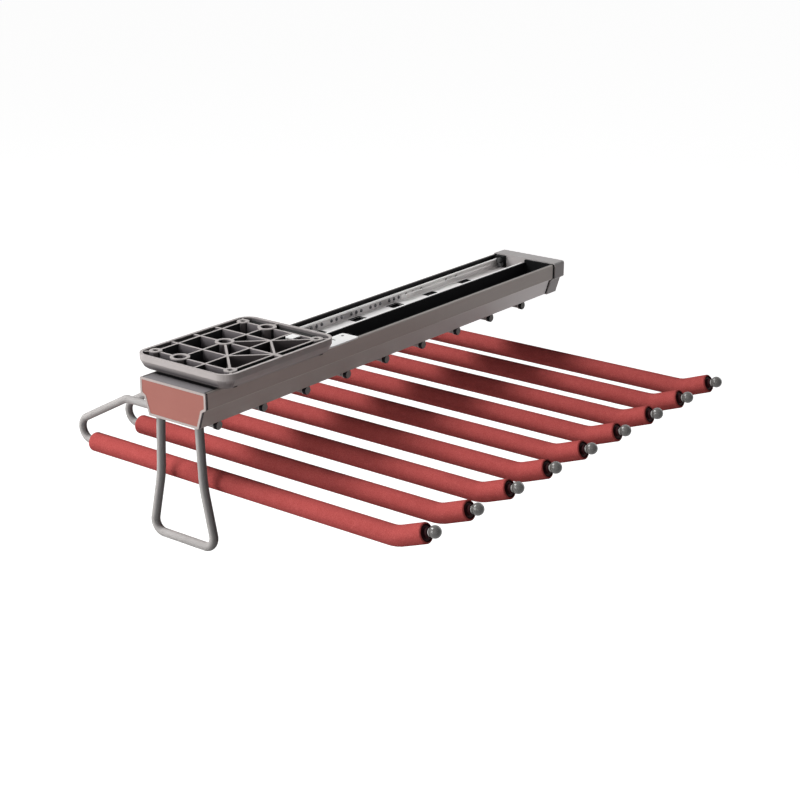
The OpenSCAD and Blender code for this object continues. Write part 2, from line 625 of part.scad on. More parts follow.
// The front cap's plug fills the channel's mouth and holds the handle's legs
socket_h = 8;
panel_sink = 0.2;
seal_inset = 0.3;
module plug_section() {
    polygon(grown(sharp_outline, -sheet - fit_gap));
    translate([-channel_w / 2 + lip_w + fit_gap, channel_h - sheet - fit_gap - over])
        square([channel_w - 2 * lip_w - 2 * fit_gap, sheet + fit_gap + over]);
}
module front_cap() color([0.66, 0.64, 0.63]) rack_frame() difference() {
    union() {
        along_y(face_y0, face_y1) polygon(outline());
        along_y(face_y1, plug_y1) plug_section();
    }
    along_y(face_y0 - over, face_y0 + panel_t) polygon(outline(-rim_w));
    for (side = [-1, 1]) translate([side * handle_gap / 2, handle_y, 0])
        cylinder(d = handle_d + 2 * seat_gap, h = sheet + socket_h + seat_gap);
}
module front_panel() color([0.72, 0.46, 0.42]) rack_frame()
    along_y(face_y0 + panel_sink, face_y0 + panel_t) polygon(outline(-rim_w - seat_gap));
module front_seal() color([0.12, 0.12, 0.13]) rack_frame()
    along_y(face_y1, channel_y0) channel_section(-seal_inset);
// The rear seal also closes the channel's right half, round the cap's lug
module rear_seal() color([0.08, 0.08, 0.08]) rack_frame() along_y(channel_y1, cap_y0) {
    channel_section();
    difference() {
        intersection() {
            polygon(outline());
            translate([slide_x + wall_x, 0]) square([channel_w, channel_h]);
        }
        translate([low_lug_x0 - fit_gap, sheet])
            square([low_lug_w + 2 * fit_gap, low_lug_h + 2 * fit_gap]);
    }
}

// The rear cap plugs into the carrier's box and the channel's open half
peg_d = 3;
peg_l = 4;
peg_in = 4;
peg_at = [stop_x1 - peg_in, ball_z - peg_d / 3];
lug_l = 16;
low_lug_x0 = slide_x + wall_x + 3 * carrier_t;
low_lug_w = foot_x1 - 2 * sheet - low_lug_x0;
low_lug_h = shoulder_z / 2;
module bevelled_end(y, h, grow) {
    mid = channel_h / 2;
    translate([0, y, mid]) mirror([0, 1, 0]) rotate([90, 0, 0])
        linear_extrude(h, slices = 1, scale = [1 - 2 * h / channel_w, 1 - 2 * h / channel_h])
            translate([0, -mid]) polygon(outline(grow));
}
module rear_cap() color([0.60, 0.59, 0.58]) rack_frame() difference() {
    union() {
        along_y(cap_y0, cap_y1 - rear_bevel) polygon(outline(rear_grow));
        bevelled_end(cap_y1 - rear_bevel, rear_bevel, rear_grow);
        translate([slide_x - foot_x + carrier_t + fit_gap, cap_y0 - lug_l, sheet + carrier_t + fit_gap])
            cube([foot_x + wall_x - carrier_t - 2 * fit_gap, lug_l + over,
                carrier_z1 - sheet - carrier_t - 2 * fit_gap]);
        translate([low_lug_x0, cap_y0 - lug_l, sheet + fit_gap]) cube([low_lug_w, lug_l + over, low_lug_h]);
    }
    translate([peg_at.x, cap_y0 - over, peg_at.y]) rotate([-90, 0, 0])
        cylinder(d = peg_d + 2 * seat_gap, h = peg_l + over + seat_gap);
}
buffer_d = 4.4;
buffer_l = 4;
stem_d = 2.2;
stem_l = 3;
buffer_dx = [0.3, 1.6];
buffer_dz = [2.05, -2.25];
buffer_at = [for (k = [0, 1]) [slide_x - inner_half + buffer_dx[k], ball_z + buffer_dz[k]]];
module rear_stop() color([0.07, 0.07, 0.07]) rack_frame() difference() {
    union() {
        along_y(stop_y0, cap_y0) {
            translate([stop_x0, outer_z]) square([stop_x1 - stop_x0, shoe_foot_z1 - outer_z]);
            translate([stop_x0 + lip_w, outer_z])
                square([stop_x1 - stop_x0 - lip_w, channel_h - fit_gap - outer_z]);
        }
        translate([peg_at.x, cap_y0 - over, peg_at.y]) rotate([-90, 0, 0])
            cylinder(d = peg_d, h = peg_l + over);
    }
    for (p = buffer_at) translate([p.x, stop_y0 - over, p.y]) rotate([-90, 0, 0])
        cylinder(d = stem_d + 2 * seat_gap, h = stem_l + over + seat_gap);
}
module stop_buffers() color([0.55, 0.55, 0.55]) rack_frame() for (p = buffer_at)
    translate([p.x, stop_y0 - buffer_l, p.y]) rotate([-90, 0, 0]) {
        cylinder(d = buffer_d, h = buffer_l);
        cylinder(d = stem_d, h = buffer_l + stem_l);
    }

// The handle's legs go straight up into the cap, and spread below their knees
leg_top = [handle_gap / 2, sheet + socket_h];
leg_low = [handle_gap / 2, -sheet];
knee = [handle_gap / 2 + knee_out, -knee_drop];
grip = [handle_gap / 2 + grip_out, -handle_drop];
function flipped(p) = [-p.x, p.y];
handle_path = [leg_top, leg_low, knee, grip, flipped(grip), flipped(knee), flipped(leg_low),
    flipped(leg_top)];
socket_r = 40;
knee_r = 100;
module pull_handle() color("silver") rack_frame() translate([0, handle_y, 0])
    upright(leg_top, -90) bent_rod(steps_of(handle_path,
        [socket_r, knee_r, grip_r, grip_r, knee_r, socket_r]), handle_d);

// The arms are welded to a flat bar that is riveted to the channel's underside
bar_side = 5.333;
bar_x0 = slide_x - bar_side;
bar_x1 = stub_reach - cap_l - fit_gap;
bar_inset = 8;
module arm_bar() color("silver") rack_frame() difference() {
    translate([bar_x0, channel_y0 + bar_inset, -bar_t])
        cube([bar_x1 - bar_x0, channel_y1 - channel_y0 - 2 * bar_inset, bar_t]);
    for (y = bar_rivet_y) translate([slide_x, y, -bar_t - over])
        cylinder(d = rivet_hole_d, h = bar_t + 2 * over);
}
module bar_rivets() color("gray") rack_frame() for (y = bar_rivet_y) translate([slide_x, y, 0]) {
    translate([0, 0, -bar_t - head_t]) cylinder(d = head_d - 1, h = head_t);
    translate([0, 0, -bar_t - head_t])
        cylinder(d = rivet_d, h = bar_t + sheet + carrier_t + 2 * head_t);
    translate([0, 0, sheet + carrier_t]) cylinder(d = head_d - 1, h = head_t);
}

// How far the channel pulls out before its buffers meet the inner rail. The cage goes half as far.
stop_gap = 0.3;
travel = stop_y0 - buffer_l - stop_gap - inner_y1;
echo(travel = travel, cage_travel = travel / 2);

mounting_plate();
slide_bracket();
slide_inner_rail();
plate_rivets();
guide_shoe();
ball_cage();
cage_balls();
channel_housing();
slide_carrier();
slide_outer_rail();
carrier_rivets();
front_cap();
front_panel();
front_seal();
rear_cap();
rear_seal();
rear_stop();
stop_buffers();
pull_handle();
arm_bar();
bar_rivets();
stub_caps();
tip_bushes();
for (i = [1:arm_count]) {
    arm_rod(i);
    arm_sleeve(i);
    tip_ball(i);
}
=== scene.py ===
import bmesh
import bpy
import math
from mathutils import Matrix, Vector


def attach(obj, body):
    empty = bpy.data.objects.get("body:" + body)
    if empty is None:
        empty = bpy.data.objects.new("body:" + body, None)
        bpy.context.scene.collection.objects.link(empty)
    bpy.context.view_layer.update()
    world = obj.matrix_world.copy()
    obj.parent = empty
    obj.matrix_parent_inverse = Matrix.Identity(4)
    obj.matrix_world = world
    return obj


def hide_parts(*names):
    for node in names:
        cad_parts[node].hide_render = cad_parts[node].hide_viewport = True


# Dresses the pull-out trouser rack: paint, moulded plastic, zinc, rods and the flocked sleeves.

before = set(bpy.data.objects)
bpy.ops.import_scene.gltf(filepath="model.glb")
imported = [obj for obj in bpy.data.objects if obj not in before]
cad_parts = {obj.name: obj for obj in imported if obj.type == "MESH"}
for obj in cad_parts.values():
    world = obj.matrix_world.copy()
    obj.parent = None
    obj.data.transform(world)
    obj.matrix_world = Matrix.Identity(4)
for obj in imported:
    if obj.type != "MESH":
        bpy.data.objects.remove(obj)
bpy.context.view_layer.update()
mm = 0.001
slideOffset = Vector((0, -0.045, -0.04265))   # from the first arm under the channel to the screws
screenCurve = {"top": 255, "knee": 10, "slope": 12.92, "offset": 0.055, "power": 2.4}


def tone(red, green, blue):
    # a colour as it shows on screen, 0 to 255, turned into light
    light = []
    for level in (red, green, blue):
        share = level / screenCurve["top"]
        if level <= screenCurve["knee"]:
            light.append(share / screenCurve["slope"])
        else:
            raised = (share + screenCurve["offset"]) / (1 + screenCurve["offset"])
            light.append(raised ** screenCurve["power"])
    return (*light, 1.0)


# Small helpers for node trees of every kind.
def feed(tree, given, socket):
    # a socket takes another node's output, or a plain value
    if isinstance(given, bpy.types.NodeSocket):
        tree.links.new(given, socket)
    else:
        socket.default_value = given


def addNode(tree, kind, inputs=None, **settings):
    # inputs are sockets by name or number, settings belong to the node itself
    node = tree.nodes.new(kind)
    for key, value in settings.items():
        setattr(node, key, value)
    for key, given in (inputs or {}).items():
        feed(tree, given, node.inputs[key])
    return node


def addMath(tree, operation, first, second, clamp=False):
    node = addNode(tree, "ShaderNodeMath", {0: first, 1: second}, operation=operation, use_clamp=clamp)
    return node.outputs[0]


def addNoise(tree, vector, scale, detail, roughness):
    node = addNode(tree, "ShaderNodeTexNoise",
                   {"Vector": vector, "Scale": scale, "Detail": detail, "Roughness": roughness})
    return node.outputs["Fac"]


def addRange(tree, value, low, high, toLow=0.0, toHigh=1.0):
    node = addNode(tree, "ShaderNodeMapRange",
                   {"Value": value, "From Min": low, "From Max": high, "To Min": toLow, "To Max": toHigh})
    return node.outputs["Result"]


viewpoint = {"place": (0.8578, -0.9074, 0.39115), "azimuth": 37.874, "elevation": 19.267,
             "lens": 77.66, "sensor": 36, "shift": (0.00494, -0.00209), "nearest": 0.01}


def setCamera():
    data = bpy.data.cameras.new("photoCamera")
    data.lens = viewpoint["lens"]
    data.sensor_width = viewpoint["sensor"]
    data.shift_x, data.shift_y = viewpoint["shift"]
    data.clip_start = viewpoint["nearest"]
    camera = bpy.data.objects.new("photoCamera", data)
    camera.location = viewpoint["place"]
    camera.rotation_euler = (math.radians(90 - viewpoint["elevation"]), 0,
                             math.radians(viewpoint["azimuth"]))
    bpy.context.scene.collection.objects.link(camera)
    bpy.context.scene.camera = camera


# The high lamp's place decides where the channel's shadow crosses the sleeves.
lamps = {
    "frontLamp": {"place": (-0.42, -1.53, 0.31), "size": 1.0, "power": 19, "color": (1.0, 0.99, 0.98)},
    "highLamp": {"place": (-1.22, -0.6, 1.64), "size": 0.8, "power": 42.5, "color": (1.0, 0.995, 0.985)},
    "sideLamp": {"place": (1.05, -1.15, 0.22), "size": 1.2, "power": 2.15, "color": (1.0, 0.99, 0.985)},
    "backLamp": {"place": (0.3, 2.4, 0.5), "size": 1.4, "power": 9, "color": (0.98, 0.99, 1.0)},
}
lampTarget = Vector((0.02, 0.1, -0.06))
skyFill = {"towards": (-0.3, -0.65, -0.7), "dim": 0.0, "bright": 0.23, "color": (1, 0.99, 0.985, 1)}
plainWhite = (1, 1, 1, 1)


def setLamps():
    for name, lamp in lamps.items():
        data = bpy.data.lights.new(name, "AREA")
        data.size = lamp["size"]
        data.energy = lamp["power"]
        data.color = lamp["color"]
        lampObject = bpy.data.objects.new(name, data)
        lampObject.location = lamp["place"]
        aim = lampTarget - lampObject.location
        lampObject.rotation_euler = aim.to_track_quat("-Z", "Y").to_euler()
        bpy.context.scene.collection.objects.link(lampObject)


def whiteRays(tree):
    # 1 for what the camera sees straight, in metal or through glass
    path = addNode(tree, "ShaderNodeLightPath").outputs
    seen = addMath(tree, "MAXIMUM", path["Is Camera Ray"], path["Is Glossy Ray"])
    return addMath(tree, "MAXIMUM", seen, path["Is Transmission Ray"])


def setWorld():
    # white where it is seen or mirrored, and a soft fill that fades away from the lamps
    world = bpy.data.worlds.new("studio")
    bpy.context.scene.world = world
    world.use_nodes = True
    tree = world.node_tree
    tree.nodes.clear()
    way = addNode(tree, "ShaderNodeTexCoord").outputs["Generated"]
    lean = addNode(tree, "ShaderNodeVectorMath", {0: way, 1: skyFill["towards"]}, operation="DOT_PRODUCT")
    level = addRange(tree, lean.outputs["Value"], -1.0, 1.0, skyFill["dim"], skyFill["bright"])
    fill = addNode(tree, "ShaderNodeBackground", {"Color": skyFill["color"], "Strength": level})
    seen = addNode(tree, "ShaderNodeBackground", {"Color": plainWhite, "Strength": 1.0})
    mix = addNode(tree, "ShaderNodeMixShader", {"Fac": whiteRays(tree), 1: fill.outputs["Background"],
                                                2: seen.outputs["Background"]})
    addNode(tree, "ShaderNodeOutputWorld", {"Surface": mix.outputs["Shader"]})


setCamera()
setLamps()
setWorld()
bpy.context.scene.view_settings.view_transform = "Standard"
print("camera and lights are set")


# Shader groups that several finishes share.
def newGroup(name, ins, outs):
    # ins are labels with their defaults: a float, or a vector where it is None or has three parts
    group = bpy.data.node_groups.new(name, "ShaderNodeTree")
    for label, value in ins.items():
        kind = "NodeSocketFloat" if isinstance(value, float) else "NodeSocketVector"
        socket = group.interface.new_socket(label, in_out="INPUT", socket_type=kind)
        if value is not None:
            socket.default_value = value
    for label in outs:
        group.interface.new_socket(label, in_out="OUTPUT", socket_type="NodeSocketFloat")
    return group, group.nodes.new("NodeGroupInput"), group.nodes.new("NodeGroupOutput")


def makeGrain():
    # fine spark-eroded skin of moulded plastic, and orange peel of paint
    group, start, end = newGroup("mouldGrain", {"Vector": None, "Scale": 2600.0, "Mottle Scale": 60.0},
                                 ("Height", "Mottle"))
    place = start.outputs["Vector"]
    fine = addNoise(group, place, start.outputs["Scale"], detail=2.0, roughness=0.6)
    broad = addNoise(group, place, start.outputs["Mottle Scale"], detail=4.0, roughness=0.55)
    feed(group, fine, end.inputs["Height"])
    feed(group, addRange(group, broad, low=0.3, high=0.7), end.inputs["Mottle"])
    return group


def makeDrawn():
    # long faint lines that drawing, rolling or brushing leaves, with the stretch set per finish
    broadShare = 0.12   # the broad streaks' scale, as a share of the fine lines'
    group, start, end = newGroup("drawnLines", {"Vector": None, "Stretch": (1.0, 1.0, 1.0), "Scale": 2400.0},
                                 ("Height", "Streak"))
    squeeze = addNode(group, "ShaderNodeVectorMath",
                      {0: start.outputs["Vector"], 1: start.outputs["Stretch"]}, operation="MULTIPLY")
    along = squeeze.outputs["Vector"]
    broadScale = addMath(group, "MULTIPLY", start.outputs["Scale"], broadShare)
    fine = addNoise(group, along, start.outputs["Scale"], detail=2.0, roughness=0.65)
    broad = addNoise(group, along, broadScale, detail=3.0, roughness=0.5)
    feed(group, fine, end.inputs["Height"])
    feed(group, addRange(group, broad, low=0.32, high=0.68), end.inputs["Streak"])
    return group


def limitedMask(group, start, first, second):
    # what two masks share, times the amount that the finish asks for
    both = addMath(group, "MULTIPLY", first, second)
    return addMath(group, "MULTIPLY", both, start.outputs["Amount"], clamp=True)


def makeScuffs():
    # sparse short scratches where pieces are handled
    group, start, end = newGroup("scuffs", {"Vector": None, "Scale": 40.0, "Amount": 0.2}, ("Mask",))
    place = start.outputs["Vector"]
    turn = addNode(group, "ShaderNodeMapping",
                   {"Vector": place, "Rotation": (0.4, 0.7, 0.5), "Scale": (1.0, 14.0, 9.0)})
    lines = addNoise(group, turn.outputs["Vector"], start.outputs["Scale"], detail=4.0, roughness=0.6)
    where = addNoise(group, place, start.outputs["Scale"], detail=2.0, roughness=0.5)
    thin = addRange(group, lines, low=0.60, high=0.68)
    patch = addRange(group, where, low=0.5, high=0.7)
    feed(group, limitedMask(group, start, thin, patch), end.inputs["Mask"])
    return group


def makeDust():
    # a thin veil on what faces up
    group, start, end = newGroup("dustVeil", {"Vector": None, "Scale": 90.0, "Amount": 0.3}, ("Mask",))
    skin = addNode(group, "ShaderNodeNewGeometry")
    split = addNode(group, "ShaderNodeSeparateXYZ", {"Vector": skin.outputs["Normal"]})
    cloud = addNoise(group, start.outputs["Vector"], start.outputs["Scale"], detail=5.0, roughness=0.6)
    up = addRange(group, split.outputs["Z"], low=0.4, high=1.0)
    patch = addRange(group, cloud, low=0.35, high=0.75)
    feed(group, limitedMask(group, start, up, patch), end.inputs["Mask"])
    return group


def makeFlock():
    # short dense pile: pin-prick dark gaps, light tips and slow tufting
    group, start, end = newGroup("flockPile", {"Vector": None, "Scale": 1500.0, "Tuft Scale": 140.0},
                                 ("Height", "Fleck", "Tuft"))
    place = start.outputs["Vector"]
    cells = addNode(group, "ShaderNodeTexVoronoi",
                    {"Vector": place, "Scale": start.outputs["Scale"], "Randomness": 1.0}, feature="F1")
    fibre = addNoise(group, place, start.outputs["Scale"], detail=3.0, roughness=0.7)
    tuft = addNoise(group, place, start.outputs["Tuft Scale"], detail=4.0, roughness=0.55)
    tips = addMath(group, "SUBTRACT", fibre, cells.outputs["Distance"])
    feed(group, addRange(group, tips, low=-0.5, high=0.6), end.inputs["Height"])
    feed(group, addRange(group, fibre, low=0.34, high=0.66), end.inputs["Fleck"])
    feed(group, addRange(group, tuft, low=0.3, high=0.7), end.inputs["Tuft"])
    return group


def makeZone():
    # 1 inside a box, fading over the edge, and only on faces that lean the given way
    group, start, end = newGroup("zone", {
        "Vector": None, "Low": (-1.0, -1.0, -1.0), "High": (1.0, 1.0, 1.0), "Fade": (0.0003, 0.0003, 0.0003),
        "Facing": (0.0, 0.0, 0.0), "Lean": -1.0, "Soft": 0.02}, ("Mask",))

    def vectors(operation, first, second):
        return addNode(group, "ShaderNodeVectorMath", {0: first, 1: second}, operation=operation).outputs

    place = start.outputs["Vector"]
    mask = None
    for first, second in ((place, start.outputs["Low"]), (start.outputs["High"], place)):
        depth = vectors("SUBTRACT", first, second)["Vector"]
        share = vectors("DIVIDE", depth, start.outputs["Fade"])["Vector"]
        capped = vectors("MINIMUM", share, (1.0, 1.0, 1.0))["Vector"]
        inside = vectors("MAXIMUM", capped, (0.0, 0.0, 0.0))["Vector"]
        split = addNode(group, "ShaderNodeSeparateXYZ", {"Vector": inside})
        for axis in "XYZ":
            part = split.outputs[axis]
            mask = part if mask is None else addMath(group, "MULTIPLY", mask, part)
    skin = addNode(group, "ShaderNodeNewGeometry")
    lean = vectors("DOT_PRODUCT", skin.outputs["Normal"], start.outputs["Facing"])["Value"]
    past = addMath(group, "SUBTRACT", lean, start.outputs["Lean"])
    share = addMath(group, "DIVIDE", past, start.outputs["Soft"], clamp=True)
    leans = addMath(group, "MAXIMUM", share, 0.0)
    feed(group, addMath(group, "MULTIPLY", mask, leans), end.inputs["Mask"])
    return group


grainGroup = makeGrain()
drawnGroup = makeDrawn()
scuffGroup = makeScuffs()
dustGroup = makeDust()
flockGroup = makeFlock()
zoneGroup = makeZone()
print("shader groups are built")


# Finishes: each reads Object coordinates, and mixes its tones by the groups above.
def newFinish(name, constants):
    material = bpy.data.materials.new(name)
    material.use_nodes = True
    tree = material.node_tree
    tree.nodes.clear()
    shader = addNode(tree, "ShaderNodeBsdfPrincipled", constants)
    addNode(tree, "ShaderNodeOutputMaterial", {"Surface": shader.outputs["BSDF"]})
    place = addNode(tree, "ShaderNodeTexCoord").outputs["Object"]
    return material, tree, shader, place


def useGroup(tree, group, place, values):
    node = addNode(tree, "ShaderNodeGroup", node_tree=group)
    for key, given in {"Vector": place, **values}.items():
        feed(tree, given, node.inputs[key])
    return node.outputs


def blendTone(tree, mask, first, second):
    # the Mix node has a set of sockets for each kind of data, and these are its colours
    colorA, colorB, colorOut = 6, 7, 2
    node = addNode(tree, "ShaderNodeMix", {"Factor": mask}, data_type="RGBA")
    feed(tree, first, node.inputs[colorA])
    feed(tree, second, node.inputs[colorB])
    return node.outputs[colorOut]


def addBump(tree, shader, height, strength, distance):
    bump = addNode(tree, "ShaderNodeBump", {"Strength": strength, "Distance": distance, "Height": height})
    feed(tree, bump.outputs["Normal"], shader.inputs["Normal"])


plainZone = {"fade": (0.3, 0.3, 0.3), "facing": (0, 0, 0), "lean": -1, "soft": 0.02}   # faces of any lean


def zoneTone(tree, place, color, zones):
    # lays the tone of each zone over a colour; corners and fades are in millimetres
    for zone in zones:
        mask = useGroup(tree, zoneGroup, place, {
            "Low": [c * mm for c in zone["low"]], "High": [c * mm for c in zone["high"]],
            "Fade": [c * mm for c in zone.get("fade", plainZone["fade"])],
            "Facing": zone.get("facing", plainZone["facing"]), "Lean": zone.get("lean", plainZone["lean"]),
            "Soft": zone.get("soft", plainZone["soft"])})["Mask"]
        color = blendTone(tree, mask, color, zone["tone"])
    return color


heightSpan = (0.3, 0.7)   # where nearly all of a noise's height lies


def roughBySkin(tree, shader, height, roughness, look, scuff):
    # the relief varies the roughness, and scuffs are rougher still
    rough = addRange(tree, height, *heightSpan, roughness - look["smoother"], roughness + look["rougher"])
    extra = addMath(tree, "MULTIPLY", scuff, look["scuffRough"])
    feed(tree, addMath(tree, "ADD", rough, extra, clamp=True), shader.inputs["Roughness"])


mouldLook = {"mottleScale": 55.0, "scuffScale": 45.0, "scuffs": 0.3, "dustScale": 120.0,
             "smoother": 0.06, "rougher": 0.08, "scuffRough": 0.2, "depth": 0.12 * mm}


def mouldedPlastic(name, base, shade, roughness, grain, light, gloss, relief=0.25, veil=0.2, zones=()):
    # base and shade are the two tones of the mottle, light the tone of dust and scuffs
    material, tree, shader, place = newFinish(name, {"Specular IOR Level": gloss})
    skin = useGroup(tree, grainGroup, place, {"Scale": grain, "Mottle Scale": mouldLook["mottleScale"]})
    scuff = useGroup(tree, scuffGroup, place,
                     {"Scale": mouldLook["scuffScale"], "Amount": mouldLook["scuffs"]})["Mask"]
    dust = useGroup(tree, dustGroup, place, {"Scale": mouldLook["dustScale"], "Amount": veil})["Mask"]
    body = blendTone(tree, skin["Mottle"], base, shade)
    worn = blendTone(tree, scuff, body, light)
    dusty = blendTone(tree, dust, worn, light)
    feed(tree, zoneTone(tree, place, dusty, zones), shader.inputs["Base Color"])
    roughBySkin(tree, shader, skin["Height"], roughness, mouldLook, scuff)
    addBump(tree, shader, skin["Height"], relief, mouldLook["depth"])
    return material


metalLook = {"scuffScale": 60.0, "smoother": 0.07, "rougher": 0.09, "scuffRough": 0.15, "depth": 0.06 * mm}


def metal(name, base, shade, roughness, stretch, metallic, grain=2400.0, relief=0.12, scuffs=0.3,
          gloss=0.5, zones=()):
    # a bare or plated metal with lines along the way that it was drawn or rolled
    material, tree, shader, place = newFinish(name, {"Metallic": metallic, "Specular IOR Level": gloss})
    lines = useGroup(tree, drawnGroup, place, {"Stretch": stretch, "Scale": grain})
    scuff = useGroup(tree, scuffGroup, place, {"Scale": metalLook["scuffScale"], "Amount": scuffs})["Mask"]
    body = blendTone(tree, lines["Streak"], base, shade)
    worn = blendTone(tree, scuff, body, base)
    feed(tree, zoneTone(tree, place, worn, zones), shader.inputs["Base Color"])
    roughBySkin(tree, shader, lines["Height"], roughness, metalLook, scuff)
    addBump(tree, shader, lines["Height"], relief, metalLook["depth"])
    return material


# Zones: boxes on the object with a tone of their own, in millimetres from the origin; most of them are
# painted light and shade.
wide = 999   # an open side of a zone
toRight, toFront, toTop, toFloor = (1, 0, 0), (0, -1, 0), (0, 0, 1), (0, 0, -1)
# painted shade: near black for the inside of the channel, where shade falls
paintedShadeBlack = tone(12, 11, 14)
# painted shadow: black for gaps, window edges and the lug inside the channel
paintedShadowBlack = tone(12, 11, 13)

channelLightAndShade = [
    # painted light: the underside grows paler to the back
    {"low": (-wide, 90, -60), "high": (wide, wide, -26), "fade": (0.3, 300, 0.3),
     "facing": toFloor, "lean": 0.05, "tone": tone(200, 194, 194)},
    # painted shade: the left wall's inner face, the room between the walls, and the floor are near black
    {"low": (-33.2, -wide, -41), "high": (0, wide, -13.95), "facing": toRight, "lean": 0.5,
     "tone": paintedShadeBlack},
    {"low": (-31.9, -wide, -26.3), "high": (31.9, wide, -13.6), "tone": paintedShadeBlack},
    {"low": (-32.5, -wide, -41.6), "high": (32.5, wide, -26.0), "facing": toTop, "lean": 0.05,
     "tone": paintedShadeBlack}]
channelLook = {
    "base": tone(152, 143, 139), "shade": tone(160, 151, 147), "line": tone(156, 148, 144),
    "worn": tone(180, 172, 169), "dust": tone(176, 171, 169), "skinScale": 1900.0, "mottleScale": 28.0,
    "stretch": (1.0, 0.012, 1.0), "lineScale": 1600.0, "scuffScale": 30.0, "scuffs": 0.3,
    "dustScale": 110.0, "veil": 0.2, "smooth": 0.4, "rough": 0.52, "metallic": 0.3, "gloss": 0.3,
    "relief": 0.18, "depth": 0.1 * mm}


def paintedChannel():
    # satin paint over an extrusion: faint lines along it, and painted shade near black inside
    look = channelLook
    material, tree, shader, place = newFinish(
        "channelPaint", {"Metallic": look["metallic"], "Specular IOR Level": look["gloss"]})
    skin = useGroup(tree, grainGroup, place,
                    {"Scale": look["skinScale"], "Mottle Scale": look["mottleScale"]})
    lines = useGroup(tree, drawnGroup, place, {"Stretch": look["stretch"], "Scale": look["lineScale"]})
    scuff = useGroup(tree, scuffGroup, place, {"Scale": look["scuffScale"], "Amount": look["scuffs"]})
    dust = useGroup(tree, dustGroup, place, {"Scale": look["dustScale"], "Amount": look["veil"]})
    body = blendTone(tree, skin["Mottle"], look["base"], look["shade"])
    lined = blendTone(tree, lines["Streak"], body, look["line"])
    worn = blendTone(tree, scuff["Mask"], lined, look["worn"])
    dusty = blendTone(tree, dust["Mask"], worn, look["dust"])
    feed(tree, zoneTone(tree, place, dusty, channelLightAndShade), shader.inputs["Base Color"])
    rough = addRange(tree, lines["Height"], *heightSpan, look["smooth"], look["rough"])
    feed(tree, rough, shader.inputs["Roughness"])
    addBump(tree, shader, skin["Height"], look["relief"], look["depth"])
    return material


flockLook = {
    "tuftDark": tone(179, 86, 83), "tuftLight": tone(191, 95, 92), "gap": tone(158, 68, 67),
    "core": tone(40, 8, 12), "pileScale": 1700.0, "tuftScale": 170.0, "smooth": 0.86, "rough": 0.98,
    "relief": 0.45, "depth": 0.3 * mm}


def flockedSleeve():
    # the pile covers the sleeve, but not its cut ends, which show the dark core
    look = flockLook
    material, tree, shader, place = newFinish("redFlock", {"Specular IOR Level": 0.0})
    pile = useGroup(tree, flockGroup, place, {"Scale": look["pileScale"], "Tuft Scale": look["tuftScale"]})
    body = blendTone(tree, pile["Tuft"], look["tuftDark"], look["tuftLight"])
    flecked = blendTone(tree, pile["Fleck"], look["gap"], body)
    cut = addNode(tree, "ShaderNodeAttribute", attribute_name="cutEnd")
    edge = addRange(tree, cut.outputs["Fac"], low=0.3, high=0.7)
    feed(tree, blendTone(tree, edge, flecked, look["core"]), shader.inputs["Base Color"])
    rough = addRange(tree, pile["Fleck"], 0.0, 1.0, look["smooth"], look["rough"])
    feed(tree, rough, shader.inputs["Roughness"])
    addBump(tree, shader, pile["Height"], look["relief"], look["depth"])
    return material


panelLook = {
    "base": tone(157, 99, 90), "shade": tone(161, 103, 94), "worn": tone(190, 130, 120),
    "skinScale": 1400.0, "mottleScale": 40.0, "scuffScale": 70.0, "scuffs": 0.2, "smooth": 0.46,
    "rough": 0.56, "gloss": 0.2, "coat": 0.1, "coatRough": 0.3, "relief": 0.1, "depth": 0.1 * mm}


def rosePanel():
    look = panelLook
    material, tree, shader, place = newFinish("rosePanel", {
        "Specular IOR Level": look["gloss"], "Coat Weight": look["coat"],
        "Coat Roughness": look["coatRough"]})
    skin = useGroup(tree, grainGroup, place,
                    {"Scale": look["skinScale"], "Mottle Scale": look["mottleScale"]})
    scuff = useGroup(tree, scuffGroup, place, {"Scale": look["scuffScale"], "Amount": look["scuffs"]})
    body = blendTone(tree, skin["Mottle"], look["base"], look["shade"])
    feed(tree, blendTone(tree, scuff["Mask"], body, look["worn"]), shader.inputs["Base Color"])
    rough = addRange(tree, skin["Height"], *heightSpan, look["smooth"], look["rough"])
    feed(tree, rough, shader.inputs["Roughness"])
    addBump(tree, shader, skin["Height"], look["relief"], look["depth"])
    return material


# painted light and shade: the plate's sloping underside is darker, and the walls and floors of its cells are
# dark, lighter where they face the front, darker deeper down, and black where they face +X or up
slopeRoom = {"low": (-wide, -wide, -18), "high": (wide, wide, -4)}
cellRoom = {"low": (-45.3, -60.3, -20), "high": (45.3, 60.3, -0.6)}
plateShadeZones = [
    {**slopeRoom, "fade": (0.3, 0.3, 5), "facing": (0, -0.7, -0.7), "lean": 0.75, "tone": tone(84, 80, 82)},
    {**slopeRoom, "fade": (0.3, 0.3, 4), "facing": (0.5, -0.5, -0.7), "lean": 0.8, "soft": 0.1,
     "tone": tone(112, 106, 106)},
    {**cellRoom, "facing": toTop, "lean": -0.05, "tone": tone(78, 72, 73)},
    {**cellRoom, "facing": toFront, "lean": 0.9, "tone": tone(112, 107, 110)},
    {**cellRoom, "fade": (0.2, 0.2, 9), "facing": toFront, "lean": 0.9, "tone": tone(60, 56, 58)},
    {**cellRoom, "facing": toRight, "lean": 0.9, "tone": tone(16, 15, 17)},
    {**cellRoom, "facing": toTop, "lean": 0.2, "tone": tone(13, 12, 14)}]
plateCorner = {"x": (41.5, 60), "y": (56.5, 80), "bottom": -5, "top": 1, "diagonal": 0.7}
for x, y in ((-1, -1), (-1, 1), (1, -1), (1, 1)):
    # the round corners reach into the box of the cells, so they get their own tone back
    acrossX = sorted(x * edge for edge in plateCorner["x"])
    acrossY = sorted(y * edge for edge in plateCorner["y"])
    plateShadeZones.append({"low": (acrossX[0], acrossY[0], plateCorner["bottom"]),
                       "high": (acrossX[1], acrossY[1], plateCorner["top"]),
                       "facing": (plateCorner["diagonal"] * x, plateCorner["diagonal"] * y, 0),
                       "lean": 0.4, "tone": tone(176, 170, 169)})
